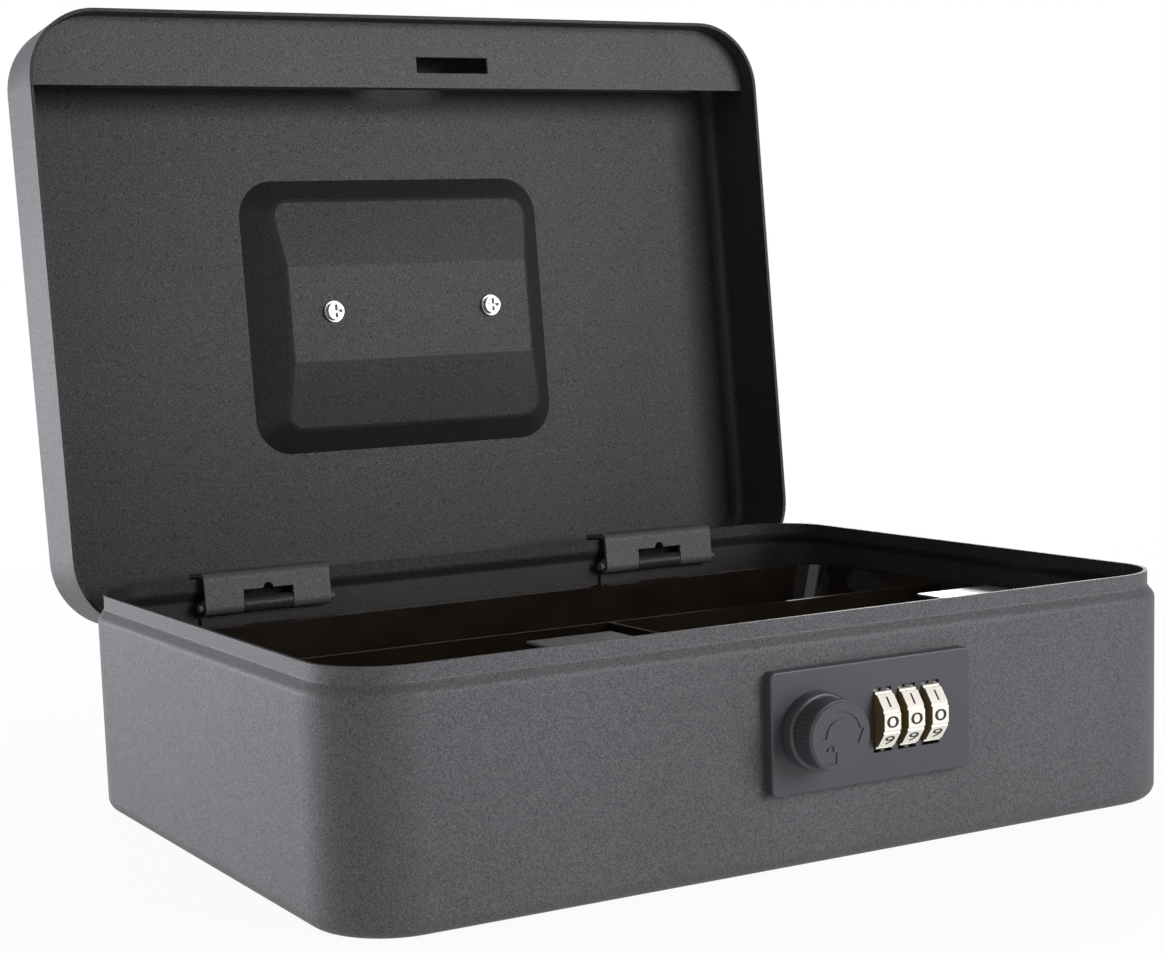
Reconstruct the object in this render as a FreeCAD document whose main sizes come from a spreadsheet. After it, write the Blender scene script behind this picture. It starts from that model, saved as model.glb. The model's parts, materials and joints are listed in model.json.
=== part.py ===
import FreeCAD, Part
import Sketcher
import math
import os
from types import SimpleNamespace

# A steel cash box with a combination lock, in millimetres.
# The origin is the middle of the bottom face: +X right, +Y to the hinges, +Z up.
# The lid's pieces are drawn on the shut box and turned about the hinge to stand open.

SIZES = {
    # box and sheet
    "box_width": 250.0,
    "box_depth": 180.0,
    "corner_radius": 21.0,
    "sheet_thick": 1.0,
    "bottom_fillet": 4.0,
    "shoulder_low": 55.5,
    "shoulder_high": 58.0,
    "rim_height": 62.0,
    "neck_inset": 1.9,
    "shoulder_bend": 2.5,
    "neck_bend": 1.0,
    # lid
    "lid_gap": 0.5,
    "lid_height": 27.5,
    "lid_fillet": 5.0,
    "lid_open_angle": 95.3,
    # handle recess in the lid
    "recess_width": 105.2,
    "recess_length": 85.5,
    "recess_x": -1.6,
    "recess_y": -0.8,
    "recess_depth": 10.0,
    "recess_end_depth": 7.0,
    "recess_radius": 12.0,
    "recess_floor_radius": 4.0,
    "recess_flat_front": 14.9,
    "recess_flat_back": 14.8,
    "recess_bend": 2.5,
    # hinges
    "hinge_inset": 56.5,
    "hinge_setback": 4.3,
    "hinge_drop": 4.6,
    "hinge_width": 40.0,
    "knuckle_width": 16.0,
    "knuckle_gap": 0.3,
    "barrel_radius": 2.3,
    "leaf_thick": 1.2,
    "leaf_reach": 9.1,
    "leaf_rise": 9.3,
    "leaf_foot": 11.7,
    "leaf_drop": 13.1,
    "leaf_relief": 2.2,
    "leaf_relief_radius": 1.6,
    "leaf_bend": 1.2,
    "pin_radius": 1.25,
    "pin_overhang": 1.7,
    "running_fit": 0.05,
    "tool_overrun": 1.0,
    # strike rail across the front of the lid
    "rail_height": 6.0,
    "rail_depth": 20.0,
    "rail_flange": 10.0,
    "rail_lip": 3.0,
    "rail_end_gap": 0.3,
    "slot_offset": -3.3,
    "slot_width": 25.2,
    "slot_depth": 5.0,
    "slot_back": 15.4,
    # lock
    "plate_x": 17.2,
    "lock_drop": 23.2,
    "plate_width": 60.5,
    "plate_height": 30.5,
    "plate_thick": 3.0,
    "plate_radius": 1.6,
    "plate_edge": 0.5,
    "plate_skin": 0.8,
    "case_width": 56.0,
    "case_height": 27.0,
    "case_depth": 11.7,
    "case_wall": 1.5,
    "case_back": 1.0,
    "case_post": 5.0,
    "screw_inset": 3.2,
    "screw_radius": 1.5,
    "screw_head_radius": 2.5,
    "screw_head_height": 1.6,
    "screw_bite": 1.8,
    # dials
    "dial_offset": 10.2,
    "dial_pitch": 7.4,
    "dial_width": 5.0,
    "dial_radius": 8.5,
    "dial_depth": 4.0,
    "dial_sides": 10,
    "groove_radius": 0.5,
    "groove_bite": 0.45,
    "window_inset": 0.4,
    "pocket_margin": 2.2,
    "axle_radius": 2.0,
    "ring_radius": 3.0,
    "ring_width": 2.0,
    "ring_notch": 0.6,
    "side_gap": 0.3,
    "cheek_thick": 1.6,
    "cheek_height": 12.0,
    "fence_thick": 2.0,
    "fence_depth": 4.0,
    "fence_setback": 0.6,
    "spring_thick": 0.4,
    # knob, spindle and hook
    "knob_offset": -17.5,
    "knob_radius": 8.6,
    "knob_length": 10.0,
    "knob_cap_radius": 8.9,
    "knob_cap": 1.4,
    "knob_cap_edge": 0.5,
    "knob_collar_radius": 9.7,
    "knob_collar": 3.4,
    "knob_collar_edge": 0.9,
    "knob_gap": 0.2,
    "knob_ribs": 48,
    "knob_rib_depth": 0.2,
    "spindle_radius": 3.0,
    "spindle_seat": 6.0,
    "spindle_hole_gap": 0.1,
    "wall_hole_gap": 1.5,
    "cam_thick": 2.0,
    "cam_gap": 0.3,
    "cam_hub": 8.0,
    "cam_arm_near": 2.3,
    "cam_arm_width": 6.5,
    "cam_nose_reach": 4.0,
    "cam_nose_low": 31.2,
    "cam_tip": 35.2,
    "nut_radius": 5.0,
    "nut_thick": 2.6,
    # coin tray and its rests
    "tray_drop": 8.0,
    "tray_side_gap": 1.6,
    "tray_end_room": 20.0,
    "tray_height": 32.0,
    "tray_radius": 10.0,
    "tray_draft": 2.5,
    "tray_end_draft": 9.0,
    "tray_wall": 1.6,
    "tray_flange": 2.0,
    "tray_flange_thick": 1.5,
    "divider_thick": 1.4,
    "divider_drop": 0.3,
    "divider_y": 4.0,
    "divider_x": 1.0,
    "label_width": 26.0,
    "label_depth": 18.0,
    "label_thick": 0.6,
    "label_setback": 19.0,
    "label_left_inset": 24.2,
    "label_right_inset": 11.2,
    "rest_overlap": 1.2,
    "rest_width": 16.0,
    "rest_end": 30.0,
    "rest_thick": 1.2,
    "rest_height": 9.0,
    # handle
    "handle_inset": 24.9,
    "handle_shift": -0.5,
    "handle_lift": 6.0,
    "bail_radius": 2.5,
    "bail_side_gap": 12.5,
    "bail_length": 26.0,
    "bail_bend": 6.0,
    "grip_radius": 3.7,
    "grip_end_gap": 13.0,
    "bracket_width": 10.0,
    "bracket_wall": 0.9,
    "bracket_length": 12.0,
    "bracket_height": 9.6,
    "handle_screw_radius": 2.0,
    "handle_screw_depth": 2.0,
    "handle_head_radius": 2.7,
    "handle_head_height": 1.6,
    "handle_washer_radius": 3.3,
    "handle_washer_thick": 0.8,
    "cross_width": 0.9,
    "cross_length": 4.0,
    "cross_depth": 1.2,
}

doc = FreeCAD.newDocument("CashBox")
sheet = doc.addObject("Spreadsheet::Sheet", "Sizes")
for row, (alias, number) in enumerate(SIZES.items(), start=1):
    sheet.set(f"A{row}", alias)
    sheet.set(f"B{row}", str(number))
    sheet.setAlias(f"B{row}", alias)
doc.recompute()


class Size:
    """A size held both as text for the sheet's expressions and as a number."""

    def __init__(self, text, number):
        self.text = text
        self.number = number

    def join(self, sign, other, number):
        return Size(f"({self.text} {sign} {other.text})", number)

    def __add__(self, other):
        other = as_size(other)
        return self.join("+", other, self.number + other.number)

    def __sub__(self, other):
        other = as_size(other)
        return self.join("-", other, self.number - other.number)

    def __mul__(self, other):
        other = as_size(other)
        return self.join("*", other, self.number * other.number)

    def __truediv__(self, other):
        other = as_size(other)
        return self.join("/", other, self.number / other.number)

    def __neg__(self):
        return Size(f"(-1 * {self.text})", -self.number)


def as_size(value):
    return value if isinstance(value, Size) else Size(str(value), value)


S = SimpleNamespace(**{name: Size(f"Sizes.{name}", number) for name, number in SIZES.items()})
NODES = []
NUT_SIDES = 6


def bind(thing, path, size):
    thing.setExpression(path, as_size(size).text)


def node(thing, label):
    """Give a finished sub-part its label and keep it for writing."""
    thing.Label = label
    NODES.append(thing)
    return thing


def on_lid(thing, label):
    """A sub-part drawn on the shut box, turned with the lid to where it stands open."""
    turn = "rotation(vector(1; 0; 0); -1 * Sizes.lid_open_angle)"
    axis = f"vector(0; {hinge_y.text}; {hinge_z.text})"
    thing.setExpression("Placement", f"placement(vector(0; 0; 0); {turn}; {axis})")
    return node(thing, label)


def block(name, x, y, z):
    """A box between two places on each axis."""
    box = doc.addObject("Part::Box", name)
    for side, letter, (low, high) in zip(("Length", "Width", "Height"), "xyz", (x, y, z)):
        bind(box, side, as_size(high) - low)
        bind(box, f"Placement.Base.{letter}", low)
    return box


TURNS = {
    "x": FreeCAD.Rotation(FreeCAD.Vector(0, 1, 0), 90),
    "y": FreeCAD.Rotation(FreeCAD.Vector(1, 0, 0), -90),
    "z": FreeCAD.Rotation(),
}


def seat(piece, axis, centre, low):
    """Place a straight piece by its low end on an axis and its centre on the other two."""
    bind(piece, f"Placement.Base.{axis}", low)
    for letter, place in zip([letter for letter in "xyz" if letter != axis], centre):
        bind(piece, f"Placement.Base.{letter}", place)


def rod(name, axis, centre, radius, low, high):
    """A cylinder along an axis, between two places on it; centre holds the other two."""
    body = doc.addObject("Part::Cylinder", name)
    body.Placement = FreeCAD.Placement(FreeCAD.Vector(), TURNS[axis])
    bind(body, "Radius", radius)
    bind(body, "Height", as_size(high) - low)
    seat(body, axis, centre, low)
    return body


def many_sided(name, axis, centre, sides, radius, low, high):
    """A straight bar with equal sides along an axis; the radius reaches its corners."""
    bar = doc.addObject("Part::Prism", name)
    bar.Polygon = sides
    bar.Placement = FreeCAD.Placement(FreeCAD.Vector(), TURNS[axis])
    bind(bar, "Circumradius", radius)
    bind(bar, "Height", as_size(high) - low)
    seat(bar, axis, centre, low)
    return bar


def fuse(name, *shapes):
    joined = doc.addObject("Part::MultiFuse", name)
    joined.Shapes = list(shapes)
    return joined


def group(name, *shapes):
    """Separate solids kept in one sub-part."""
    several = doc.addObject("Part::Compound", name)
    several.Links = list(shapes)
    return several


def cut(name, base, *tools):
    result = doc.addObject("Part::Cut", name)
    result.Base = base
    result.Tool = tools[0] if len(tools) == 1 else fuse(f"{name}_tools", *tools)
    return result


def common(name, first, second):
    result = doc.addObject("Part::MultiCommon", name)
    result.Shapes = [first, second]
    return result


def plane(body, role):
    return next(f for f in body.Origin.OriginFeatures if f.Role == role)


def new_sketch(body, name, role, offset):
    sketch = body.newObject("Sketcher::SketchObject", name)
    sketch.AttachmentSupport = [(plane(body, role), "")]
    sketch.MapMode = "FlatFace"
    bind(sketch, "AttachmentOffset.Base.z", offset)
    return sketch


def fix_point(sketch, curve, end, place):
    """Tie one point of a curve to a place measured from the sketch's origin."""
    for kind, size in zip(("DistanceX", "DistanceY"), place):
        size = as_size(size)
        index = sketch.addConstraint(Sketcher.Constraint(kind, -1, 1, curve, end, size.number))
        bind(sketch, f"Constraints[{index}]", size)


def rounded_rect(body, name, offset, width, depth, radius, centre=(0, 0), role="XY_Plane"):
    """A rectangle with round corners, level unless another plane is named."""
    sketch = new_sketch(body, name, role, offset)
    half_x = as_size(width) / 2 - radius
    half_y = as_size(depth) / 2 - radius
    middle_x, middle_y = (as_size(place) for place in centre)
    quarter = math.pi / 2
    corners = []
    for turn, (sign_x, sign_y) in enumerate(((1, 1), (-1, 1), (-1, -1), (1, -1))):
        place = (middle_x + half_x * sign_x, middle_y + half_y * sign_y)
        corners.append(place)
        point = FreeCAD.Vector(place[0].number, place[1].number, 0)
        circle = Part.Circle(point, FreeCAD.Vector(0, 0, 1), as_size(radius).number)
        sketch.addGeometry(Part.ArcOfCircle(circle, turn * quarter, (turn + 1) * quarter))
    for turn in range(4):
        start = sketch.getPoint(turn, 2)
        end = sketch.getPoint((turn + 1) % 4, 1)
        sketch.addGeometry(Part.LineSegment(start, end))
    for turn in range(4):
        sketch.addConstraint(Sketcher.Constraint("Tangent", turn, 2, 4 + turn, 1))
        sketch.addConstraint(Sketcher.Constraint("Tangent", 4 + turn, 2, (turn + 1) % 4, 1))
        fix_point(sketch, turn, 3, corners[turn])
    for turn in range(1, 4):
        sketch.addConstraint(Sketcher.Constraint("Equal", 0, turn))
    index = sketch.addConstraint(Sketcher.Constraint("Radius", 0, as_size(radius).number))
    bind(sketch, f"Constraints[{index}]", radius)
    return sketch


def polygon(body, name, role, offset, points):
    """A closed outline whose corners are tied to their places."""
    sketch = new_sketch(body, name, role, offset)
    places = [FreeCAD.Vector(as_size(a).number, as_size(b).number, 0) for a, b in points]
    count = len(places)
    for n in range(count):
        sketch.addGeometry(Part.LineSegment(places[n], places[(n + 1) % count]))
    for n in range(count):
        sketch.addConstraint(Sketcher.Constraint("Coincident", n, 2, (n + 1) % count, 1))
        fix_point(sketch, n, 1, points[n])
    return sketch


def circle_sketch(body, name, role, offset, centre, radius):
    sketch = new_sketch(body, name, role, offset)
    point = FreeCAD.Vector(as_size(centre[0]).number, as_size(centre[1]).number, 0)
    sketch.addGeometry(Part.Circle(point, FreeCAD.Vector(0, 0, 1), as_size(radius).number))
    fix_point(sketch, 0, 3, centre)
    index = sketch.addConstraint(Sketcher.Constraint("Radius", 0, as_size(radius).number))
    bind(sketch, f"Constraints[{index}]", radius)
    return sketch


def pad(body, sketch, length, backwards=False, both_ways=False):
    feature = body.newObject("PartDesign::Pad", f"{sketch.Name}_pad")
    feature.Profile = sketch
    bind(feature, "Length", length)
    feature.Reversed = backwards
    feature.Midplane = both_ways
    return feature


def loft(body, first, second):
    feature = body.newObject("PartDesign::AdditiveLoft", f"{first.Name}_loft")
    feature.Profile = first
    feature.Sections = [second]
    feature.Ruled = True
    return feature


def lies_at(edge, places):
    """Whether an edge keeps to the given places, such as one height."""
    return all(
        abs(getattr(vertex, axis) - as_size(place).number) < 1e-6
        for vertex in edge.Vertexes
        for axis, place in places.items()
    )


def round_edges(body, places, radius, name):
    """Fillet the edges of a body that lie at the given places."""
    doc.recompute()
    tip = body.Tip
    names = [f"Edge{n}" for n, edge in enumerate(tip.Shape.Edges, start=1) if lies_at(edge, places)]
    fillet = body.newObject("PartDesign::Fillet", name)
    fillet.Base = (tip, names)
    bind(fillet, "Radius", radius)
    return fillet


def new_body(name):
    return doc.addObject("PartDesign::Body", name)


def prism(name, role, offset, length, points, both_ways=False):
    """A straight piece with a polygon for its section."""
    body = new_body(name)
    pad(body, polygon(body, f"{name}_outline", role, offset, points), length, False, both_ways)
    return body


# Shared places

wall = S.sheet_thick
over = S.tool_overrun
front = -(S.box_depth / 2)
back_inside = S.box_depth / 2 - wall
side_inside = S.box_width / 2 - wall
front_inside = front + wall
hinge_x = S.box_width / 2 - S.hinge_inset
hinge_y = S.box_depth / 2 - S.hinge_setback
hinge_z = S.shoulder_high - S.hinge_drop
lock_z = S.shoulder_high - S.lock_drop
tray_top = S.shoulder_high - S.tray_drop
flange_half_x = side_inside - S.neck_inset - S.tray_side_gap
flange_half_y = S.box_depth / 2 - S.tray_end_room
lid_rim = S.shoulder_high + S.lid_gap
lid_top = lid_rim + S.lid_height
plate_front = front - S.plate_thick
knob_x = S.plate_x + S.knob_offset
dial_x = S.plate_x + S.dial_offset
dial_y = plate_front + S.dial_depth
case_rear = front_inside + S.case_depth
case_inside = case_rear - S.case_back
cam_front = case_rear + S.cam_gap
cam_rear = cam_front + S.cam_thick


# Box bottom

def bottom_stack(name, inset, floor, rim, bends):
    """The bottom's outline, drawn in from the outside by an inset: walls, shoulder and neck."""
    body = new_body(name)
    width = S.box_width - as_size(inset) * 2
    depth = S.box_depth - as_size(inset) * 2
    radius = S.corner_radius - inset
    narrow = S.neck_inset * 2
    wide = rounded_rect(body, f"{name}_walls", floor, width, depth, radius)
    pad(body, wide, S.shoulder_low - floor)
    low = rounded_rect(body, f"{name}_low", S.shoulder_low, width, depth, radius)
    neck_sizes = (width - narrow, depth - narrow, radius - S.neck_inset)
    high = rounded_rect(body, f"{name}_high", S.shoulder_high, *neck_sizes)
    loft(body, low, high)
    neck = rounded_rect(body, f"{name}_neck", S.shoulder_high, *neck_sizes)
    pad(body, neck, as_size(rim) - S.shoulder_high)
    for place, (level, radius) in bends.items():
        round_edges(body, {"Z": level}, radius, f"{name}_{place}_bend")
    return body


outside_bends = {
    "floor": (0, S.bottom_fillet),
    "shoulder": (S.shoulder_low, S.shoulder_bend),
    "neck": (S.shoulder_high, S.neck_bend),
}
inside_bends = {
    "floor": (wall, S.bottom_fillet - wall),
    "shoulder": (S.shoulder_low, S.shoulder_bend - wall),
    "neck": (S.shoulder_high, S.neck_bend + wall),
}
outside = bottom_stack("bottom_outside", 0, 0, S.rim_height, outside_bends)
inside = bottom_stack("bottom_inside", wall, wall, S.rim_height + wall, inside_bends)

stack_half = S.dial_pitch + S.dial_width / 2 + S.ring_width + S.side_gap
window_half = stack_half + S.cheek_thick + S.side_gap * 2
window_reach = S.dial_radius + S.pocket_margin
dial_opening = block(
    "dial_opening",
    (dial_x - window_half, dial_x + window_half),
    (front - wall, front_inside + wall),
    (lock_z - window_reach, lock_z + window_reach),
)
spindle_opening = rod(
    "spindle_opening", "y", (knob_x, lock_z), S.spindle_radius + S.wall_hole_gap,
    front - wall, front_inside + wall,
)
screw_places = [
    (S.plate_x + (S.case_width / 2 - S.screw_inset) * sx, lock_z + (S.case_height / 2 - S.screw_inset) * sz)
    for sx in (-1, 1)
    for sz in (-1, 1)
]
screw_hole = S.screw_radius + S.running_fit
wall_screw_holes = [
    rod(f"wall_screw_hole_{n}", "y", place, screw_hole, front - wall, front_inside + wall)
    for n, place in enumerate(screw_places)
]
node(
    cut("base_shell", outside, inside, dial_opening, spindle_opening, *wall_screw_holes), "base_shell"
)


# Rests that carry the tray's flange, two on each side wall

rest_top = tray_top - S.tray_flange_thick
rest_y = flange_half_y - S.rest_end
rest_tip = flange_half_x - S.rest_overlap
rests = []
for side in (-1, 1):
    for end in (-1, 1):
        name = f"rest_{side + 1}_{end + 1}"
        across = (rest_y * end - S.rest_width / 2, rest_y * end + S.rest_width / 2)
        edge = side_inside * side
        tip = rest_tip * side
        inner = (side_inside - S.rest_thick) * side
        shelf_x = (tip, edge) if side > 0 else (edge, tip)
        plate_x = (inner, edge) if side > 0 else (edge, inner)
        shelf = block(f"{name}_shelf", shelf_x, across, (rest_top - S.rest_thick, rest_top))
        plate = block(f"{name}_plate", plate_x, across, (rest_top - S.rest_height, rest_top))
        rests.append(fuse(name, shelf, plate))
node(group("tray_rests", *rests), "tray_rests")


# Hinges: a plate on the back wall with the middle knuckle, a pin, and an arched leaf on the lid

def knuckle(name, low, high):
    centre = (hinge_y, hinge_z)
    barrel = rod(f"{name}_barrel", "x", centre, S.barrel_radius, low, high)
    bore = rod(
        f"{name}_bore", "x", centre, S.pin_radius + S.running_fit, as_size(low) - over, as_size(high) + over
    )
    return barrel, bore


def hinge(side, where):
    middle = hinge_x * where
    half = S.hinge_width / 2
    half_middle = S.knuckle_width / 2
    held = half_middle - S.knuckle_gap
    y, z = hinge_y, hinge_z
    bottom = z - S.barrel_radius
    web_top = bottom + S.leaf_thick
    plate_face = back_inside - S.leaf_thick
    plate_top = bottom - S.leaf_thick / 2
    plate_low = bottom - S.leaf_drop

    barrel, bore = knuckle(f"base_knuckle_{side}", middle - held, middle + held)
    base_leaf = fuse(
        f"base_leaf_{side}",
        barrel,
        block(f"base_plate_{side}", (middle - half, middle + half), (plate_face, back_inside),
              (plate_low, plate_top)),
        block(f"base_web_{side}", (middle - held, middle + held), (y, back_inside), (bottom, web_top)),
        block(f"base_riser_{side}", (middle - held, middle + held), (plate_face, back_inside),
              (plate_low, web_top)),
    )
    node(cut(f"hinge_base_leaf_{side}", base_leaf, bore), f"hinge_base_leaf_{side}")

    pin = rod(
        f"hinge_pin_{side}", "x", (y, z), S.pin_radius,
        middle - half - S.pin_overhang, middle + half + S.pin_overhang,
    )
    node(pin, f"hinge_pin_{side}")

    reach = y - S.leaf_reach
    rise = z + S.leaf_rise
    outer_reach = reach - S.leaf_thick
    outer_rise = rise + S.leaf_thick
    foot_top = rise + S.leaf_foot
    arch = prism(
        f"lid_arch_{side}", "YZ_Plane", middle, S.hinge_width,
        [
            (y, bottom), (outer_reach, bottom), (outer_reach, outer_rise), (plate_face, outer_rise),
            (plate_face, foot_top), (back_inside, foot_top), (back_inside, rise), (reach, rise),
            (reach, web_top), (y, web_top),
        ],
        both_ways=True,
    )
    for place, (bend_y, bend_z), radius in (
        ("low_outer", (outer_reach, bottom), S.leaf_bend + S.leaf_thick),
        ("low_inner", (reach, web_top), S.leaf_bend),
        ("top_outer", (outer_reach, outer_rise), S.leaf_bend + S.leaf_thick),
        ("top_inner", (reach, rise), S.leaf_bend),
    ):
        round_edges(arch, {"Y": bend_y, "Z": bend_z}, radius, f"lid_arch_{side}_{place}_bend")
    left, left_bore = knuckle(f"lid_knuckle_left_{side}", middle - half, middle - half_middle)
    right, right_bore = knuckle(f"lid_knuckle_right_{side}", middle + half_middle, middle + half)
    gap_front = y - S.barrel_radius - S.leaf_relief
    gap = block(
        f"lid_gap_{side}", (middle - half_middle, middle + half_middle),
        (gap_front, y + S.barrel_radius), (bottom - wall, web_top + wall),
    )
    relief = rod(
        f"lid_relief_{side}", "z", (middle, gap_front), S.leaf_relief_radius, bottom - wall, web_top + wall
    )
    lid_leaf = cut(
        f"hinge_lid_leaf_{side}",
        fuse(f"lid_leaf_{side}", arch, left, right),
        left_bore, right_bore, gap, relief,
    )
    on_lid(lid_leaf, f"hinge_lid_leaf_{side}")


hinge("left", -1)
hinge("right", 1)


# Lid with the handle recess pressed into its top

def lid_stack(name, inset, low, fillet):
    body = new_body(name)
    inset = as_size(inset)
    top = lid_top - inset
    outline = rounded_rect(
        body, f"{name}_outline", low, S.box_width - inset * 2, S.box_depth - inset * 2,
        S.corner_radius - inset,
    )
    pad(body, outline, top - low)
    round_edges(body, {"Z": top}, fillet, f"{name}_bend")
    return body


def crosses(edge):
    """Whether an edge runs across the recess, as the creases of its floor do."""
    return edge.BoundBox.XLength > SIZES["recess_width"] / 2 and edge.BoundBox.YLength < 1e-6


def recess_tool(name, lower, bend):
    """The recess as a solid, lowered by a sheet's thickness for its underside."""
    top = lid_top - lower + wall / 2
    floor = lid_top - lower - S.recess_depth
    taper = S.recess_depth * 2 + wall
    middle = (S.recess_x, S.recess_y)
    cone = new_body(f"{name}_sides")
    mouth = rounded_rect(
        cone, f"{name}_mouth", top, S.recess_width + wall, S.recess_length + wall, S.recess_radius, middle
    )
    base = rounded_rect(
        cone, f"{name}_base", floor, S.recess_width + wall - taper, S.recess_length + wall - taper,
        S.recess_floor_radius, middle,
    )
    loft(cone, base, mouth)
    half = S.recess_length / 2
    front_end = S.recess_y - half
    back_end = S.recess_y + half
    end_floor = lid_top - lower - S.recess_end_depth
    flat_front = S.recess_y - S.recess_flat_front
    flat_back = S.recess_y + S.recess_flat_back
    front_turn = front_end + S.recess_end_depth
    back_turn = back_end - S.recess_end_depth
    profile = prism(
        f"{name}_floor", "YZ_Plane", 0, S.recess_width * 2,
        [
            (flat_front, floor), (flat_back, floor), (back_turn, end_floor),
            (back_end + wall, end_floor), (back_end + wall, top), (front_end - wall, top),
            (front_end - wall, end_floor), (front_turn, end_floor),
        ],
        both_ways=True,
    )
    sharp = common(f"{name}_sharp", cone, profile)
    doc.recompute()
    radius = as_size(bend).number
    fillet = doc.addObject("Part::Fillet", name)
    fillet.Base = sharp
    fillet.Edges = [
        (n, radius, radius)
        for n, edge in enumerate(sharp.Shape.Edges, start=1)
        if edge.BoundBox.ZMax < top.number - wall.number and not crosses(edge)
    ]
    return fillet


lid_outside = lid_stack("lid_outside", 0, lid_rim, S.lid_fillet)
lid_inside = lid_stack("lid_inside", wall, lid_rim - wall, S.lid_fillet - wall)
recess = recess_tool("recess", as_size(0), S.recess_bend - wall)
recess_under = recess_tool("recess_under", wall, S.recess_bend)
pressed = cut("pressed_lid", fuse("lid_blank", cut("lid_hollow", lid_outside, lid_inside), recess_under),
              recess)
handle_floor = lid_top - S.recess_depth
under_floor = handle_floor - wall
handle_z = handle_floor + S.handle_lift
handle_y = S.recess_y + S.handle_shift
handle_spread = S.recess_width / 2 - S.handle_inset
handle_places = {"left": S.recess_x - handle_spread, "right": S.recess_x + handle_spread}
handle_screw_hole = S.handle_screw_radius + S.running_fit
lid_holes = [
    rod(f"lid_hole_{name}", "z", (place, handle_y), handle_screw_hole, under_floor - wall, handle_floor + wall)
    for name, place in handle_places.items()
]
on_lid(cut("lid_shell", pressed, *lid_holes), "lid_shell")


# Strike rail: a slotted ledge behind the lid's front skirt, with a flange and a lip

rail_low = lid_rim + S.rail_height
rail_high = rail_low + wall
rail_back = front_inside + S.rail_depth
flange_half = S.box_width / 2 - S.corner_radius
rail_area = new_body("rail_area")
pad(
    rail_area,
    rounded_rect(
        rail_area, "rail_outline", rail_low, (side_inside - S.rail_end_gap) * 2, back_inside * 2,
        S.corner_radius - wall,
    ),
    wall,
)
rail_strip = block(
    "rail_strip", (-(S.box_width / 2), S.box_width / 2), (front, rail_back), (rail_low - over, rail_high + over)
)
rail_lip = block(
    "rail_lip", (-flange_half, flange_half), (rail_back - wall, rail_back), (rail_low, rail_high + S.rail_lip)
)
rail_flange = block(
    "rail_flange", (-flange_half, flange_half), (front_inside, front_inside + wall),
    (rail_low, rail_high + S.rail_flange),
)
slot_x = S.plate_x + S.slot_offset
rail_slot = block(
    "rail_slot", (slot_x - S.slot_width / 2, slot_x + S.slot_width / 2),
    (front + S.slot_back - S.slot_depth + wall, front + S.slot_back + wall),
    (rail_low - over, rail_high + over),
)
rail_plate = common("rail_plate", rail_area, rail_strip)
on_lid(cut("strike_rail", fuse("rail_bent", rail_plate, rail_lip, rail_flange), rail_slot), "strike_rail")


# Lock plate on the front wall, with a window for each dial

plate_solid = new_body("plate_solid")
plate_outline = rounded_rect(
    plate_solid, "plate_outline", -front, S.plate_width, S.plate_height, S.plate_radius,
    (S.plate_x, lock_z), "XZ_Plane",
)
pad(plate_solid, plate_outline, S.plate_thick)
round_edges(plate_solid, {"Y": plate_front}, S.plate_edge, "plate_bend")
dial_places = {
    "left": dial_x - S.dial_pitch,
    "middle": dial_x,
    "right": dial_x + S.dial_pitch,
}
window_height = S.dial_radius - S.window_inset
windows = [
    block(
        f"window_{name}",
        (place - S.dial_width / 2 - S.side_gap, place + S.dial_width / 2 + S.side_gap),
        (plate_front - wall, front), (lock_z - window_height, lock_z + window_height),
    )
    for name, place in dial_places.items()
]
dial_pocket = block(
    "dial_pocket", (dial_x - window_half, dial_x + window_half), (plate_front + S.plate_skin, front + wall),
    (lock_z - window_reach, lock_z + window_reach),
)
plate_knob_hole = rod(
    "plate_knob_hole", "y", (knob_x, lock_z), S.spindle_radius + S.spindle_hole_gap,
    plate_front - wall, front + wall,
)
plate_screw_holes = [
    rod(f"plate_screw_hole_{n}", "y", place, screw_hole, front - S.screw_bite, front + wall)
    for n, place in enumerate(screw_places)
]
node(
    cut("lock_faceplate", plate_solid, dial_pocket, plate_knob_hole, *windows, *plate_screw_holes),
    "lock_faceplate",
)


# Lock case behind the wall, with cheeks that carry the dial axle

case_x = (S.plate_x - S.case_width / 2, S.plate_x + S.case_width / 2)
case_z = (lock_z - S.case_height / 2, lock_z + S.case_height / 2)
case_solid = block("case_solid", case_x, (front_inside, case_rear), case_z)
case_hollow = block(
    "case_hollow", (case_x[0] + S.case_wall, case_x[1] - S.case_wall), (front_inside - wall, case_inside),
    (case_z[0] + S.case_wall, case_z[1] - S.case_wall),
)
posts = []
post_holes = []
for n, (px, pz) in enumerate(screw_places):
    reach = S.case_post / 2
    posts.append(
        block(f"post_{n}", (px - reach, px + reach), (front_inside, case_rear), (pz - reach, pz + reach))
    )
    post_holes.append(rod(f"post_hole_{n}", "y", (px, pz), screw_hole, front_inside - wall, case_rear + wall))
cheek_front = dial_y - S.axle_radius - S.side_gap * 2
cheeks = []
for side in (-1, 1):
    inner = dial_x + stack_half * side
    outer = inner + S.cheek_thick * side
    cheek_x = (inner, outer) if side > 0 else (outer, inner)
    half = S.cheek_height / 2
    cheeks.append(
        block(f"cheek_{side + 1}", cheek_x, (cheek_front, case_rear), (lock_z - half, lock_z + half))
    )
axle_half = stack_half + S.cheek_thick
axle_hole = rod(
    "axle_hole", "x", (dial_y, lock_z), S.axle_radius + S.running_fit,
    dial_x - axle_half - over, dial_x + axle_half + over,
)
case_spindle_hole = rod(
    "case_spindle_hole", "y", (knob_x, lock_z), S.spindle_radius + S.spindle_hole_gap,
    case_inside - wall, case_rear + wall,
)
case_walls = fuse("case_walls", cut("case_shell", case_solid, case_hollow), *posts, *cheeks)
node(cut("lock_case", case_walls, axle_hole, case_spindle_hole, *post_holes), "lock_case")

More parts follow.
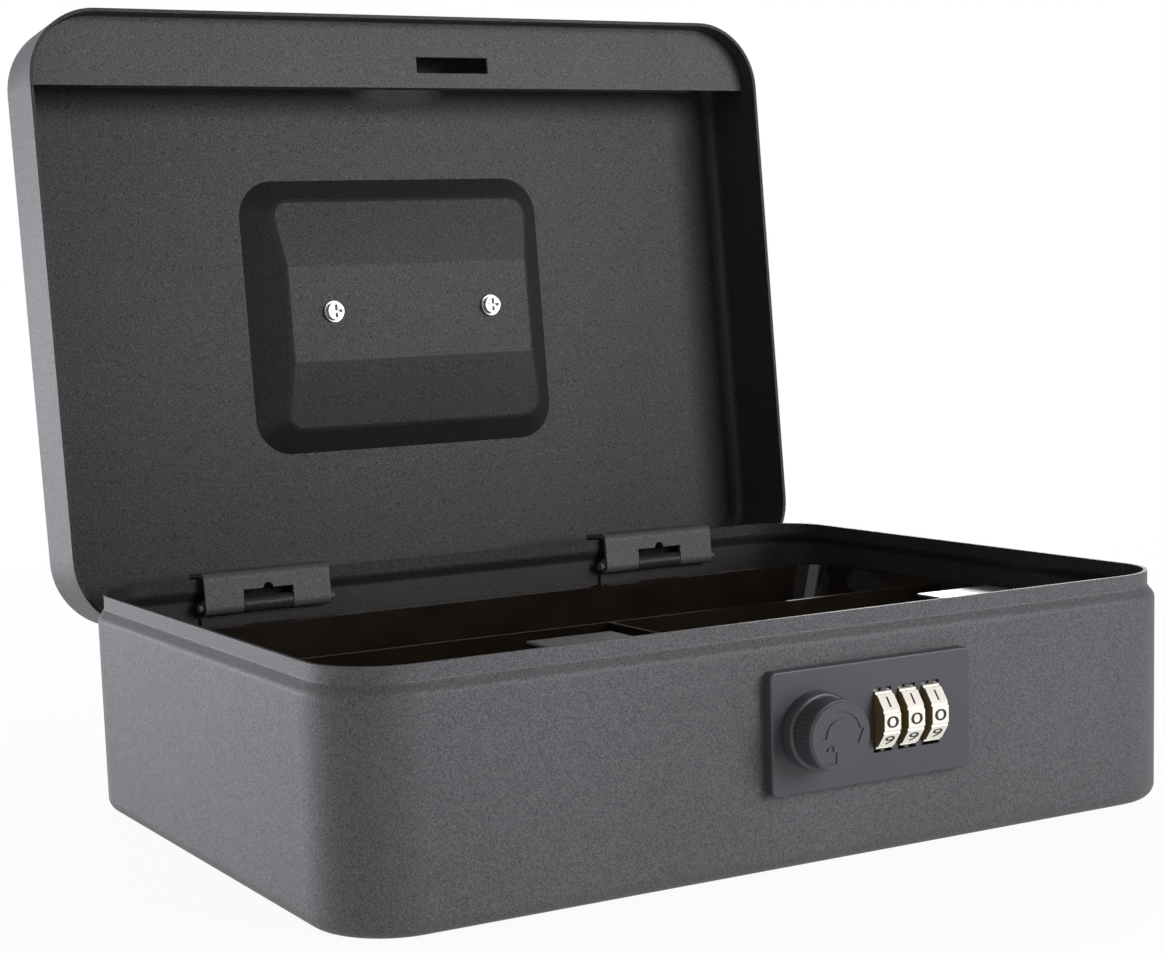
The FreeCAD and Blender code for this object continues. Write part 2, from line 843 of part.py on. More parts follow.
screws = []
for n, place in enumerate(screw_places):
    shank = rod(f"screw_shank_{n}", "y", place, S.screw_radius, front - S.screw_bite, case_rear)
    head = rod(
        f"screw_head_{n}", "y", place, S.screw_head_radius, case_rear, case_rear + S.screw_head_height
    )
    screws.append(fuse(f"screw_{n}", shank, head))
node(group("lock_screws", *screws), "lock_screws")


# Dials on their axle, each with a notched code ring on its right

axle = rod(
    "dial_axle", "x", (dial_y, lock_z), S.axle_radius, dial_x - axle_half, dial_x + axle_half
)
node(axle, "dial_axle")


def dial(name, place):
    half = S.dial_width / 2
    body = many_sided(
        f"dial_{name}_body", "x", (dial_y, lock_z), SIZES["dial_sides"], S.dial_radius, place - half,
        place + half,
    )
    bore = rod(
        f"dial_{name}_bore", "x", (dial_y, lock_z), S.axle_radius + S.running_fit,
        place - S.dial_width, place + S.dial_width,
    )
    step = 2 * math.pi / SIZES["dial_sides"]
    distance = S.dial_radius + S.groove_radius - S.groove_bite
    grooves = []
    for n in range(SIZES["dial_sides"]):
        turn = (n + 0.5) * step
        centre = (dial_y + distance * round(math.cos(turn), 9), lock_z + distance * round(math.sin(turn), 9))
        grooves.append(
            rod(f"dial_{name}_groove_{n}", "x", centre, S.groove_radius, place - S.dial_width,
                place + S.dial_width)
        )
    node(cut(f"dial_{name}", body, bore, *grooves), f"dial_{name}")
    ring_low = place + half
    ring = rod(
        f"ring_{name}", "x", (dial_y, lock_z), S.ring_radius, ring_low, ring_low + S.ring_width
    )
    ring_bore = rod(
        f"ring_{name}_bore", "x", (dial_y, lock_z), S.axle_radius + S.running_fit, ring_low - over,
        ring_low + S.ring_width + over,
    )
    notch_half = S.ring_notch / 2
    notch = block(
        f"ring_{name}_notch", (ring_low - over, ring_low + S.ring_width + over),
        (dial_y - notch_half, dial_y + notch_half),
        (lock_z - S.ring_radius - over, lock_z - S.ring_radius + S.ring_notch),
    )
    node(cut(f"code_ring_{name}", ring, ring_bore, notch), f"code_ring_{name}")


for name, place in dial_places.items():
    dial(name, place)

case_floor = case_z[0] + S.case_wall
case_roof = case_z[1] - S.case_wall
fence_front = dial_y + S.fence_setback
fence_y = (fence_front, fence_front + S.fence_depth)
bar_half = axle_half - S.cheek_thick - S.side_gap
bar_x = (dial_x - bar_half, dial_x + bar_half)
fence_bar = block("fence_spine", bar_x, fence_y, (case_floor, case_floor + S.fence_thick))
fence_teeth = []
spring_fingers = []
for name, place in dial_places.items():
    tooth_low = place + S.dial_width / 2 + S.side_gap
    tooth_x = (tooth_low, tooth_low + S.ring_width - S.side_gap * 2)
    fence_teeth.append(
        block(f"fence_tooth_{name}", tooth_x, fence_y,
              (case_floor, lock_z - S.ring_radius - S.side_gap))
    )
    finger_half = S.dial_width / 4
    spring_fingers.append(
        block(f"spring_finger_{name}", (place - finger_half, place + finger_half), fence_y,
              (lock_z + S.dial_radius + S.side_gap, case_roof))
    )
node(fuse("fence_bar", fence_bar, *fence_teeth), "fence_bar")
spring_strip = block("spring_strip", bar_x, fence_y, (case_roof - S.spring_thick, case_roof))
node(fuse("dial_spring", spring_strip, *spring_fingers), "dial_spring")


# Knob, its spindle, the hook that holds the lid, and the nut

knob_back = plate_front - S.knob_gap
knob_front = plate_front - S.knob_length
spindle_front = knob_front + S.knob_length - S.spindle_seat
band_y = (knob_front + S.knob_cap, knob_back - S.knob_collar)
knob_centre = (knob_x, lock_z)


def knob_disc(name, radius, back, length, edge):
    """A round plate facing forward, with its front edge rounded."""
    body = new_body(name)
    outline = circle_sketch(body, f"{name}_outline", "XZ_Plane", -back, knob_centre, radius)
    pad(body, outline, length)
    round_edges(body, {"Y": back - length}, edge, f"{name}_bend")
    return body


knob_cap = knob_disc("knob_cap", S.knob_cap_radius, band_y[0], S.knob_cap, S.knob_cap_edge)
knob_collar = knob_disc("knob_collar", S.knob_collar_radius, knob_back, S.knob_collar, S.knob_collar_edge)
knob_band = rod("knob_band", "y", knob_centre, S.knob_radius, *band_y)
rib_cuts = []
for n in range(SIZES["knob_ribs"]):
    turn = 2 * math.pi * n / SIZES["knob_ribs"]
    centre = (
        knob_x + S.knob_radius * round(math.cos(turn), 9),
        lock_z + S.knob_radius * round(math.sin(turn), 9),
    )
    rib_cuts.append(rod(f"knob_rib_{n}", "y", centre, S.knob_rib_depth, *band_y))
knob_bore = rod(
    "knob_bore", "y", knob_centre, S.spindle_radius + S.running_fit, spindle_front, knob_back + wall
)
ribbed_band = cut("ribbed_band", knob_band, *rib_cuts)
node(cut("knob", fuse("knob_solid", knob_cap, knob_collar, ribbed_band), knob_bore), "knob")
nut_rear = cam_rear + S.nut_thick
node(
    rod("knob_spindle", "y", knob_centre, S.spindle_radius, spindle_front, nut_rear), "knob_spindle"
)

# The hook is drawn as it lies when the lock is open, pointing to +X
cam_y = (cam_front, cam_rear)
arm_top = lock_z - S.cam_arm_near
arm_low = arm_top - S.cam_arm_width
cam_hub = rod("cam_hub", "y", knob_centre, S.cam_hub, *cam_y)
cam_arm = block("cam_arm", (knob_x, knob_x + S.cam_tip), cam_y, (arm_low, arm_top))
cam_nose = block(
    "cam_nose", (knob_x + S.cam_nose_low, knob_x + S.cam_tip), cam_y, (arm_low, lock_z + S.cam_nose_reach)
)
cam_bore = rod(
    "cam_bore", "y", knob_centre, S.spindle_radius + S.running_fit, cam_front - over, cam_rear + over
)
node(cut("hook_cam", fuse("cam_solid", cam_hub, cam_arm, cam_nose), cam_bore), "hook_cam")
nut_solid = many_sided("nut_solid", "y", knob_centre, NUT_SIDES, S.nut_radius, cam_rear, nut_rear)
nut_bore = rod(
    "nut_bore", "y", knob_centre, S.spindle_radius + S.running_fit, cam_rear - over, nut_rear + over
)
node(cut("cam_nut", nut_solid, nut_bore), "cam_nut")


# Coin tray: a long compartment at the back, two at the front, each with a shiny label plate on a pad

tray_bottom = tray_top - S.tray_height
tray_width = (flange_half_x - S.tray_flange) * 2
tray_depth = (flange_half_y - S.tray_flange) * 2


def tapered(name, width, depth, radius, low, high):
    """A block narrower at the bottom: its ends slope more than its long walls."""
    body = new_body(name)
    bottom = rounded_rect(
        body, f"{name}_bottom", low, width - S.tray_end_draft * 2, depth - S.tray_draft * 2, radius
    )
    top = rounded_rect(body, f"{name}_top", high, width, depth, radius)
    loft(body, bottom, top)
    return body


tray_outer = tapered("tray_outer", tray_width, tray_depth, S.tray_radius, tray_bottom, tray_top)
flange_body = new_body("tray_flange_body")
pad(
    flange_body,
    rounded_rect(
        flange_body, "tray_flange_outline", tray_top - S.tray_flange_thick, flange_half_x * 2,
        flange_half_y * 2, S.tray_radius + S.tray_flange,
    ),
    S.tray_flange_thick,
)
tray_hollow = tapered(
    "tray_hollow", tray_width - S.tray_wall * 2, tray_depth - S.tray_wall * 2, S.tray_radius - S.tray_wall,
    tray_bottom + S.tray_wall, tray_top,
)
half_divider = S.divider_thick / 2
divider_z = (tray_bottom, tray_top - S.divider_drop)
long_divider = block(
    "long_divider", (-tray_width / 2, tray_width / 2),
    (S.divider_y - half_divider, S.divider_y + half_divider), divider_z,
)
cross_divider = block(
    "cross_divider", (S.divider_x - half_divider, S.divider_x + half_divider),
    (-tray_depth / 2, S.divider_y), divider_z,
)
label_y = (S.divider_y - S.label_setback - S.label_depth, S.divider_y - S.label_setback)
label_places = {
    "left": S.divider_x - S.label_left_inset,
    "right": tray_width / 2 - S.label_right_inset,
}
label_pads = []
label_plates = []
for name, place in label_places.items():
    label_x = (place - S.label_width / 2, place + S.label_width / 2)
    label_pads.append(block(f"label_pad_{name}", label_x, label_y, (tray_bottom, tray_top)))
    label_plates.append(
        block(f"label_plate_{name}", label_x, label_y, (tray_top, tray_top + S.label_thick))
    )
tray_shell = cut("tray_shell", fuse("tray_solid", tray_outer, flange_body), tray_hollow)
tray_inner = common(
    "tray_inner", fuse("tray_dividers", long_divider, cross_divider, *label_pads), tray_outer
)
node(fuse("coin_tray", tray_shell, tray_inner), "coin_tray")
node(group("label_plates", *label_plates), "label_plates")


# Handle: a rod bail with a grip, two brackets in the recess, screws and washers from inside the lid

bail_half = S.recess_width / 2 - S.bail_side_gap
grip_y = handle_y + S.bail_length


def bail():
    bend_half = bail_half - S.bail_bend
    near = handle_y + S.bail_bend
    far = grip_y - S.bail_bend
    bar_x = (S.recess_x - bend_half, S.recess_x + bend_half)
    pieces = [rod("bail_bar", "x", (grip_y, handle_z), S.bail_radius, *bar_x)]
    pin_end = handle_spread - S.bracket_width / 2 + S.bracket_wall
    for side, near_turn, far_turn in ((-1, 180, 90), (1, -90, 0)):
        name = f"bail_{side + 1}"
        centre_x = S.recess_x + bend_half * side
        pin_x = sorted((S.recess_x + pin_end * side, centre_x), key=lambda size: size.number)
        pieces.append(rod(f"{name}_pin", "x", (handle_y, handle_z), S.bail_radius, *pin_x))
        arm_x = S.recess_x + bail_half * side
        pieces.append(rod(f"{name}_arm", "y", (arm_x, handle_z), S.bail_radius, near, far))
        for place, turn in ((near, near_turn), (far, far_turn)):
            bend = doc.addObject("Part::Torus", f"{name}_bend_{turn + 90}")
            spin = FreeCAD.Rotation(FreeCAD.Vector(0, 0, 1), turn)
            bend.Placement = FreeCAD.Placement(FreeCAD.Vector(), spin)
            bend.Angle3 = 90
            bind(bend, "Radius1", S.bail_bend)
            bind(bend, "Radius2", S.bail_radius)
            seat(bend, "z", (centre_x, place), handle_z)
            pieces.append(bend)
    return fuse("bail_rod", *pieces)


on_lid(bail(), "handle_bail")
grip_half = bail_half - S.grip_end_gap
grip_x = (S.recess_x - grip_half, S.recess_x + grip_half)
grip_solid = rod("grip_solid", "x", (grip_y, handle_z), S.grip_radius, *grip_x)
grip_bore = rod(
    "grip_bore", "x", (grip_y, handle_z), S.bail_radius + S.running_fit, grip_x[0] - over, grip_x[1] + over
)
on_lid(cut("grip_sleeve", grip_solid, grip_bore), "handle_grip")

handle_screws = []
handle_washers = []
for name, place in handle_places.items():
    spot = (place, handle_y)
    half_x = S.bracket_width / 2
    half_y = S.bracket_length / 2
    screw_top = handle_floor + S.handle_screw_depth
    bracket = block(
        f"bracket_{name}_solid", (place - half_x, place + half_x),
        (handle_y - half_y, handle_y + half_y), (handle_floor, handle_floor + S.bracket_height),
    )
    eye = rod(
        f"bracket_{name}_eye", "x", (handle_y, handle_z), S.bail_radius + S.running_fit,
        place - S.bracket_width, place + S.bracket_width,
    )
    thread = rod(f"bracket_{name}_thread", "z", spot, handle_screw_hole, handle_floor - over, screw_top)
    on_lid(cut(f"handle_bracket_{name}", bracket, eye, thread), f"handle_bracket_{name}")

    washer_low = under_floor - S.handle_washer_thick
    head_low = washer_low - S.handle_head_height
    washer = rod(f"washer_{name}_disc", "z", spot, S.handle_washer_radius, washer_low, under_floor)
    washer_bore = rod(
        f"washer_{name}_bore", "z", spot, handle_screw_hole, washer_low - over, under_floor + over
    )
    handle_washers.append(cut(f"washer_{name}", washer, washer_bore))
    shank = rod(f"handle_shank_{name}", "z", spot, S.handle_screw_radius, washer_low, screw_top)
    head = rod(f"handle_head_{name}", "z", spot, S.handle_head_radius, head_low, washer_low)
    slim = S.cross_width / 2
    long = S.cross_length / 2
    cross_z = (head_low - over, head_low + S.cross_depth)
    cross = [
        block(f"cross_{name}_along", (place - long, place + long),
              (handle_y - slim, handle_y + slim), cross_z),
        block(f"cross_{name}_across", (place - slim, place + slim),
              (handle_y - long, handle_y + long), cross_z),
    ]
    handle_screws.append(cut(f"handle_screw_{name}", fuse(f"handle_bolt_{name}", shank, head), *cross))
on_lid(group("handle_washers", *handle_washers), "handle_washers")
on_lid(group("handle_screws", *handle_screws), "handle_screws")


# Check every object and write each sub-part to its own file

doc.recompute()
faults = [thing.Name for thing in doc.Objects if {"Invalid", "Error"} & set(thing.State)]
for thing in NODES:
    if thing.Shape.isNull() or not thing.Shape.isValid() or not thing.Shape.Solids:
        faults.append(thing.Label)
if faults:
    raise SystemExit(f"not built: {faults}")
os.makedirs("parts", exist_ok=True)
for thing in NODES:
    thing.Shape.exportStep(f"parts/{thing.Label}.step")
    box = thing.Shape.BoundBox
    print(
        f"{thing.Label}: {len(thing.Shape.Solids)} solids, {thing.Shape.Volume:.0f} mm3, "
        f"x {box.XMin:.1f} {box.XMax:.1f}, y {box.YMin:.1f} {box.YMax:.1f}, z {box.ZMin:.1f} {box.ZMax:.1f}"
    )
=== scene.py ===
# %% [markdown]
# # A steel cash box, dressed
#
# The box's solids come ready made and in place. This lesson gives each of them its finish,
# adds the small marks that are stamped or moulded on it, and sets the light and the camera.
# The solids stay exactly as they are: only their material slots change.

# %% Load the box
import json
import math

import bpy
from mathutils import Euler, Matrix, Vector


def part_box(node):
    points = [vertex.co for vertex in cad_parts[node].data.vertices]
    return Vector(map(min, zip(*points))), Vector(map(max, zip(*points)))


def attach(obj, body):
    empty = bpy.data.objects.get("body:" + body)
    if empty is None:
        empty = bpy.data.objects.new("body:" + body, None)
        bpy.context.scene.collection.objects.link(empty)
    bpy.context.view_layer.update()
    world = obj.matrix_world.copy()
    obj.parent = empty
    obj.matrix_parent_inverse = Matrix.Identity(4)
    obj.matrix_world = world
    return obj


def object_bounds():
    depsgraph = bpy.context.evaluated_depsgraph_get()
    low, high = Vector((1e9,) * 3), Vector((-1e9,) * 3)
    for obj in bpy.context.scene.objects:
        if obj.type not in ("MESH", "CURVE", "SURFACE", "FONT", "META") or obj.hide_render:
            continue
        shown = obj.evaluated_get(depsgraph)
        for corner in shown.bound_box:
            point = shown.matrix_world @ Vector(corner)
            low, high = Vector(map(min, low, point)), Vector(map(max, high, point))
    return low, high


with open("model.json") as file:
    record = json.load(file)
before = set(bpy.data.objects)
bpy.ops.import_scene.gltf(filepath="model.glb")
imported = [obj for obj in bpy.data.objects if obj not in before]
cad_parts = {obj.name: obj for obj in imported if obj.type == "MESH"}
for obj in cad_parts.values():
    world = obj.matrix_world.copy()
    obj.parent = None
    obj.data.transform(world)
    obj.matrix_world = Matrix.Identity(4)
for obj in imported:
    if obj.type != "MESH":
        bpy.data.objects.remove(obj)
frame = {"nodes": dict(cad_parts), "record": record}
cad_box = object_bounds()
record = frame["record"]
MM = 0.001

# %% [markdown]
# ## Helpers for every material
#
# Colours are easiest to read as the hex values of a paint chart, but shaders work in linear
# light, so one function converts them. A second adds a node, sets it up and links it. A third
# builds the kind of finish that nearly every piece here has: a fine grain that shifts the
# colour, the roughness and the surface together, as real specks and pits do.

# %% Colours, nodes and grainy finishes
WHITE = (1.0, 1.0, 1.0, 1.0)
NOISE_DETAIL = 2.0
SPECK_RANGE = (0.3, 0.7)
PIT_STRENGTH = 0.5


def paint(hex_colour):
    """An sRGB hex colour as linear red, green, blue and alpha."""
    parts = [int(hex_colour[n:n + 2], 16) / 255 for n in (1, 3, 5)]
    linear = [c / 12.92 if c <= 0.04045 else ((c + 0.055) / 1.055) ** 2.4 for c in parts]
    return (*linear, 1.0)


def add_node(tree, kind, inputs=None, **settings):
    """Add a node; an input is a plain value, or a socket or a node's first output to link from."""
    made = tree.nodes.new(kind)
    for name, value in settings.items():
        setattr(made, name, value)
    for socket, value in (inputs or {}).items():
        if isinstance(value, bpy.types.Node):
            value = value.outputs[0]
        if isinstance(value, bpy.types.NodeSocket):
            tree.links.new(value, made.inputs[socket])
        else:
            made.inputs[socket].default_value = value
    return made


def grainy_finish(name, speck, colours, roughness, pit=0.0, metallic=0.0):
    """A finish whose specks of one size run between two colours and two roughnesses."""
    material = bpy.data.materials.new(name)
    material.use_nodes = True
    tree = material.node_tree
    shader = tree.nodes["Principled BSDF"]
    shader.inputs["Metallic"].default_value = metallic
    place = add_node(tree, "ShaderNodeTexCoord").outputs["Object"]
    specks = {"Vector": place, "Scale": 1 / speck, "Detail": NOISE_DETAIL}
    specks = add_node(tree, "ShaderNodeTexNoise", specks)
    ramp = add_node(tree, "ShaderNodeValToRGB", {"Fac": specks})
    for stop, position, colour in zip(ramp.color_ramp.elements, SPECK_RANGE, colours):
        stop.position = position
        stop.color = paint(colour)
    low, high = roughness
    rough = add_node(tree, "ShaderNodeMapRange", {"Value": specks, "To Min": low, "To Max": high})
    tree.links.new(ramp.outputs["Color"], shader.inputs["Base Color"])
    tree.links.new(rough.outputs["Result"], shader.inputs["Roughness"])
    if pit:
        bump = {"Height": specks, "Distance": pit, "Strength": PIT_STRENGTH}
        bump = add_node(tree, "ShaderNodeBump", bump)
        tree.links.new(bump.outputs["Normal"], shader.inputs["Normal"])
    print(name, "has", len(tree.nodes), "nodes")
    return material


# %% [markdown]
# ## Powder coat
#
# The steel is sprayed with dry charcoal powder and baked. The powder melts into a skin with a
# fine grit: up close it shows lighter and darker specks of under half a millimetre, some of them
# glinting, and over a hand's breadth its tone drifts a little. On the insides of the box and the
# lid the coat is less glossy and a little smoother, and its colour is darkened there as painted
# shade, standing in for the shade that falls inside the hollows.
#
# The grain comes from the helper, and the same specks vary the gloss. A broad noise is multiplied
# over the colour for the drift. A face looks into the hollow where it is turned to the middle of
# the mouth, so the normal and the way from the mouth tell inside from outside. Distances across
# the mouth count less than those into it, because the hollows are wide and shallow.

# %% Powder coat
# The second pair of tones is a darker copy of the coat: painted shade for a piece deep in a hollow.
FULL_COAT, SHADED_COAT_TONES = ("#454547", "#575759"), ("#39393b", "#48484a")
COAT_SPECK, COAT_PIT = 0.42 * MM, 0.10 * MM
COAT_ROUGHNESS = (0.50, 0.66)
DULL_SPECK, BRIGHT_SPECK = 0.3, 1.7
DRIFT_SIZE = 55 * MM
DRIFT_LOW, DRIFT_HIGH = 0.78, 1.22
GLOSS_INSIDE, GLOSS_OUTSIDE = 0.20, 0.50
SMOOTHER_INSIDE = 0.7
# Tint that darkens the faces inside a hollow: painted shade.
PAINTED_SHADE_INSIDE = paint("#aca39c")
TURN_WIDTH = 2 * MM


def powder_coat(name, tones=FULL_COAT, mouth=None, opening=(1, 1, 1)):
    """Charcoal powder coat, with painted shade and less gloss on faces turned to a hollow's mouth."""
    material = grainy_finish(name, COAT_SPECK, tones, COAT_ROUGHNESS, pit=COAT_PIT)
    tree = material.node_tree
    coat = tree.nodes["Principled BSDF"].inputs
    colour, rough = (coat[socket].links[0].from_socket for socket in ("Base Color", "Roughness"))
    specks = colour.node.inputs["Fac"].links[0].from_socket
    gloss = GLOSS_OUTSIDE
    where = add_node(tree, "ShaderNodeTexCoord").outputs
    if mouth:
        way = {0: where["Object"], 1: mouth}
        way = add_node(tree, "ShaderNodeVectorMath", way, operation="SUBTRACT")
        way = add_node(tree, "ShaderNodeVectorMath", {0: way, 1: opening}, operation="MULTIPLY")
        facing = {0: way, 1: where["Normal"]}
        facing = add_node(tree, "ShaderNodeVectorMath", facing, operation="DOT_PRODUCT").outputs["Value"]
        outside = {"Value": facing, "From Min": -TURN_WIDTH, "From Max": TURN_WIDTH}
        outside = add_node(tree, "ShaderNodeMapRange", outside)
        gloss = {"Value": outside, "To Min": GLOSS_INSIDE, "To Max": GLOSS_OUTSIDE}
        gloss = add_node(tree, "ShaderNodeMapRange", gloss)
        smoother = add_node(tree, "ShaderNodeMapRange", {"Value": outside, "To Min": SMOOTHER_INSIDE})
        rough = add_node(tree, "ShaderNodeMath", {0: rough, 1: smoother}, operation="MULTIPLY")
        tree.links.new(rough.outputs[0], coat["Roughness"])
        # Painted shade: faces inside the hollow get their colour darkened by this tint.
        darker = {0: outside, 6: PAINTED_SHADE_INSIDE, 7: WHITE}
        darker = add_node(tree, "ShaderNodeMix", darker, data_type="RGBA").outputs[2]
        colour = add_node(tree, "ShaderNodeVectorMath", {0: colour, 1: darker}, operation="MULTIPLY")
    clouds = {"Vector": where["Object"], "Scale": 1 / DRIFT_SIZE, "Detail": NOISE_DETAIL}
    clouds = add_node(tree, "ShaderNodeTexNoise", clouds)
    drift = {"Value": clouds, "To Min": DRIFT_LOW, "To Max": DRIFT_HIGH}
    drift = add_node(tree, "ShaderNodeMapRange", drift)
    colour = add_node(tree, "ShaderNodeVectorMath", {0: colour, 1: drift}, operation="MULTIPLY")
    tree.links.new(colour.outputs[0], coat["Base Color"])
    dull, bright = SPECK_RANGE
    glint = {"From Min": dull, "From Max": bright, "To Min": DULL_SPECK, "To Max": BRIGHT_SPECK}
    glint = add_node(tree, "ShaderNodeMapRange", {"Value": specks} | glint)
    gloss = add_node(tree, "ShaderNodeMath", {0: gloss, 1: glint}, operation="MULTIPLY")
    tree.links.new(gloss.outputs[0], coat["Specular IOR Level"])
    return material


# %% Coats of the box, the lid and the small pieces
ACROSS = 0.3
base_low, base_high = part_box("base_shell")
lid_low, lid_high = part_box("lid_shell")
box_mouth = (0, 0, base_high[2])
lid_mouth = (0, lid_low[1], (lid_low[2] + lid_high[2]) / 2)
coat_plain = powder_coat("powder_coat_charcoal")
# A darker copy of the coat, painted shade, for the strike rail deep in the lid.
coat_painted_shade = powder_coat("powder_coat_charcoal_painted_shade", SHADED_COAT_TONES)
coat_base = powder_coat("powder_coat_charcoal_box", FULL_COAT, box_mouth, (ACROSS, ACROSS, 1))
coat_lid = powder_coat("powder_coat_charcoal_lid", FULL_COAT, lid_mouth, (ACROSS, 1, ACROSS))

# %% [markdown]
# ## Moulded plastics
#
# The lock's plate, the knob and the handle's fittings are moulded in dark ABS from a lightly
# spark-eroded tool, so they are smoother than the coat but not shiny. The coin tray is polished
# black polystyrene: it mirrors the room, and its only texture is a slow unevenness.

# %% Plastics
abs_plastic = grainy_finish(
    "abs_moulded_satin", speck=0.5 * MM, colours=("#3d3d41", "#48484d"), roughness=(0.34, 0.46)
)
tray_plastic = grainy_finish(
    "polystyrene_polished_black",
    speck=18 * MM, colours=("#17120d", "#201a14"), roughness=(0.05, 0.10), pit=0.05 * MM,
)

# %% [markdown]
# ## Metals and enamel
#
# The screws and the inner lock pieces are steel with bright zinc plating. The tray's label plates
# are bright tin. A metal's colour is the colour of its reflection, so these two differ in tint and
# roughness only. The dials are plated in a pale gold and lacquered, so they are part metal and part
# lacquer. Their sides are painted a dark bronze, which is painted shade for the shade that falls
# there: there the normal points along the axle, which is how the two are told apart. The dials'
# digits are filled with black enamel.

# %% Metals and enamel
# Dark bronze for the dials' sides: painted shade.
DIAL_SIDES_PAINTED_SHADE = paint("#8a7850")
label_tin = grainy_finish(
    "tin_plate_bright",
    speck=3 * MM, colours=("#d8d8d6", "#ecece8"), roughness=(0.30, 0.38), metallic=1.0,
)
zinc = grainy_finish(
    "steel_zinc_plated",
    speck=1.2 * MM, colours=("#b8b6b2", "#d4d2ce"), roughness=(0.40, 0.54), metallic=1.0,
)
dial_plating = grainy_finish(
    "zinc_casting_pale_gold_plated",
    speck=0.6 * MM, colours=("#f3ecda", "#fdf9ee"), roughness=(0.34, 0.46), metallic=0.4,
)
tree = dial_plating.node_tree
shader = tree.nodes["Principled BSDF"]
normal = add_node(tree, "ShaderNodeTexCoord").outputs["Normal"]
sideways = add_node(tree, "ShaderNodeSeparateXYZ", {"Vector": normal}).outputs["X"]
sideways = add_node(tree, "ShaderNodeMath", {0: sideways}, operation="ABSOLUTE")
plated = shader.inputs["Base Color"].links[0].from_socket
# Painted shade: where the normal runs along the axle, the dial's sides get the dark bronze.
dial_colour = {0: sideways, 6: plated, 7: DIAL_SIDES_PAINTED_SHADE}
dial_colour = add_node(tree, "ShaderNodeMix", dial_colour, data_type="RGBA").outputs[2]
tree.links.new(dial_colour, shader.inputs["Base Color"])
digit_enamel = grainy_finish(
    "enamel_black_filled", speck=0.4 * MM, colours=("#0c0c0c", "#1a1a1a"), roughness=(0.4, 0.6)
)

# %% [markdown]
# ## Put the finishes on the solids
#
# The record already says which slot each solid belongs to, so the slots' names choose the
# materials, and no list of solids has to be written twice. Only a few of them have a finish of
# their own: the shells, the label plates, and the pieces that sit deep in a hollow, whose coat is
# darkened with painted shade.

# %% Dress the solids
FINISHES = {
    "powder_coat": coat_plain,
    "black_plastic": abs_plastic,
    "tray_plastic": tray_plastic,
    "dial_metal": dial_plating,
    "zinc_steel": zinc,
}
OWN_FINISHES = {
    "base_shell": coat_base,
    "hinge_base_leaf_left": coat_base,
    "hinge_base_leaf_right": coat_base,
    "lid_shell": coat_lid,
    "strike_rail": coat_painted_shade,
    "label_plates": label_tin,
}
for entry in record["subparts"]:
    mesh = frame["nodes"][entry["node"]].data
    mesh.materials.clear()
    mesh.materials.append(OWN_FINISHES.get(entry["node"], FINISHES[entry["material_slot"]]))
print("dressed", len(record["subparts"]), "solids")

# %% [markdown]
# ## Digits on the dials
#
# Each dial has ten flats, and each flat carries one digit filled with black enamel. A digit is
# typed as text, made a mesh, widened as the stamped ones are, and turned about the dial's axle
# to its flat. The one is a bare stroke. Zero faces forward, and the numbers climb over the top.

# %% Select, join and finish pieces
def deselect():
    bpy.ops.object.select_all(action="DESELECT")


def make_active(piece):
    deselect()
    piece.select_set(True)
    bpy.context.view_layer.objects.active = piece


def join(pieces):
    make_active(pieces[0])
    for piece in pieces:
        piece.select_set(True)
    bpy.ops.object.join()
    return bpy.context.active_object


def finish_piece(piece, name, material, body):
    """Put a piece's place into its mesh, name it, dress it and let it ride on a body."""
    make_active(piece)
    bpy.ops.object.transform_apply(location=True, rotation=True, scale=True)
    piece.name = piece.data.name = name
    piece.data.materials.clear()
    piece.data.materials.append(material)
    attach(piece, body)
    print(name, "has", len(piece.data.polygons), "faces")


# %% Type and place the digits
DIGIT_HEIGHT = 2.9 * MM
DIGIT_WIDTHS = {0: 3.6 * MM, 1: 0.5 * MM}
USUAL_DIGIT_WIDTH = 3.0 * MM
DIGIT_THICK = 0.08 * MM
TYPED_DEPTH, STROKE_GROWTH = 0.5, 0.006
STROKE_STEPS = 4
FLATS = 10
DIALS = ("left", "middle", "right")


def typed_digit(number, axle, flat_distance):
    """One digit lying on its flat."""
    deselect()
    bpy.ops.object.text_add()
    text = bpy.context.active_object
    text.data.body = "I" if number == 1 else str(number)
    text.data.extrude = TYPED_DEPTH
    text.data.offset = STROKE_GROWTH
    text.data.resolution_u = STROKE_STEPS
    bpy.ops.object.convert(target="MESH")
    bpy.ops.object.origin_set(type="ORIGIN_GEOMETRY", center="BOUNDS")
    piece = bpy.context.active_object
    piece.dimensions = (DIGIT_WIDTHS.get(number, USUAL_DIGIT_WIDTH), DIGIT_HEIGHT, DIGIT_THICK)
    angle = number * 2 * math.pi / FLATS
    outward = Vector((0, -math.cos(angle), math.sin(angle)))
    piece.rotation_euler = (math.pi / 2 - angle, 0, 0)
    piece.location = axle + outward * flat_distance
    make_active(piece)
    bpy.ops.object.transform_apply(location=True, rotation=True, scale=True)
    return piece


for dial in DIALS:
    low, high = (Vector(corner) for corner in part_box(f"dial_{dial}"))
    flat_distance = (high.y - low.y) / 2
    digits = join([typed_digit(number, (low + high) / 2, flat_distance) for number in range(FLATS)])
    finish_piece(digits, f"digits_{dial}", digit_enamel, f"dial_{dial}")

# %% [markdown]
# ## Marks on the knob
#
# The knob's face shows a broad arrow that curls clockwise over an open padlock, both sunk 0.3 mm.
# The solid's face is plain, so a thin disc is laid on it and the marks are cut through the disc.
# A small upright rectangle spun about the knob's axis gives the arrow's band, and a three-sided
# prism makes its head. The padlock is a block with a shackle spun the same way.

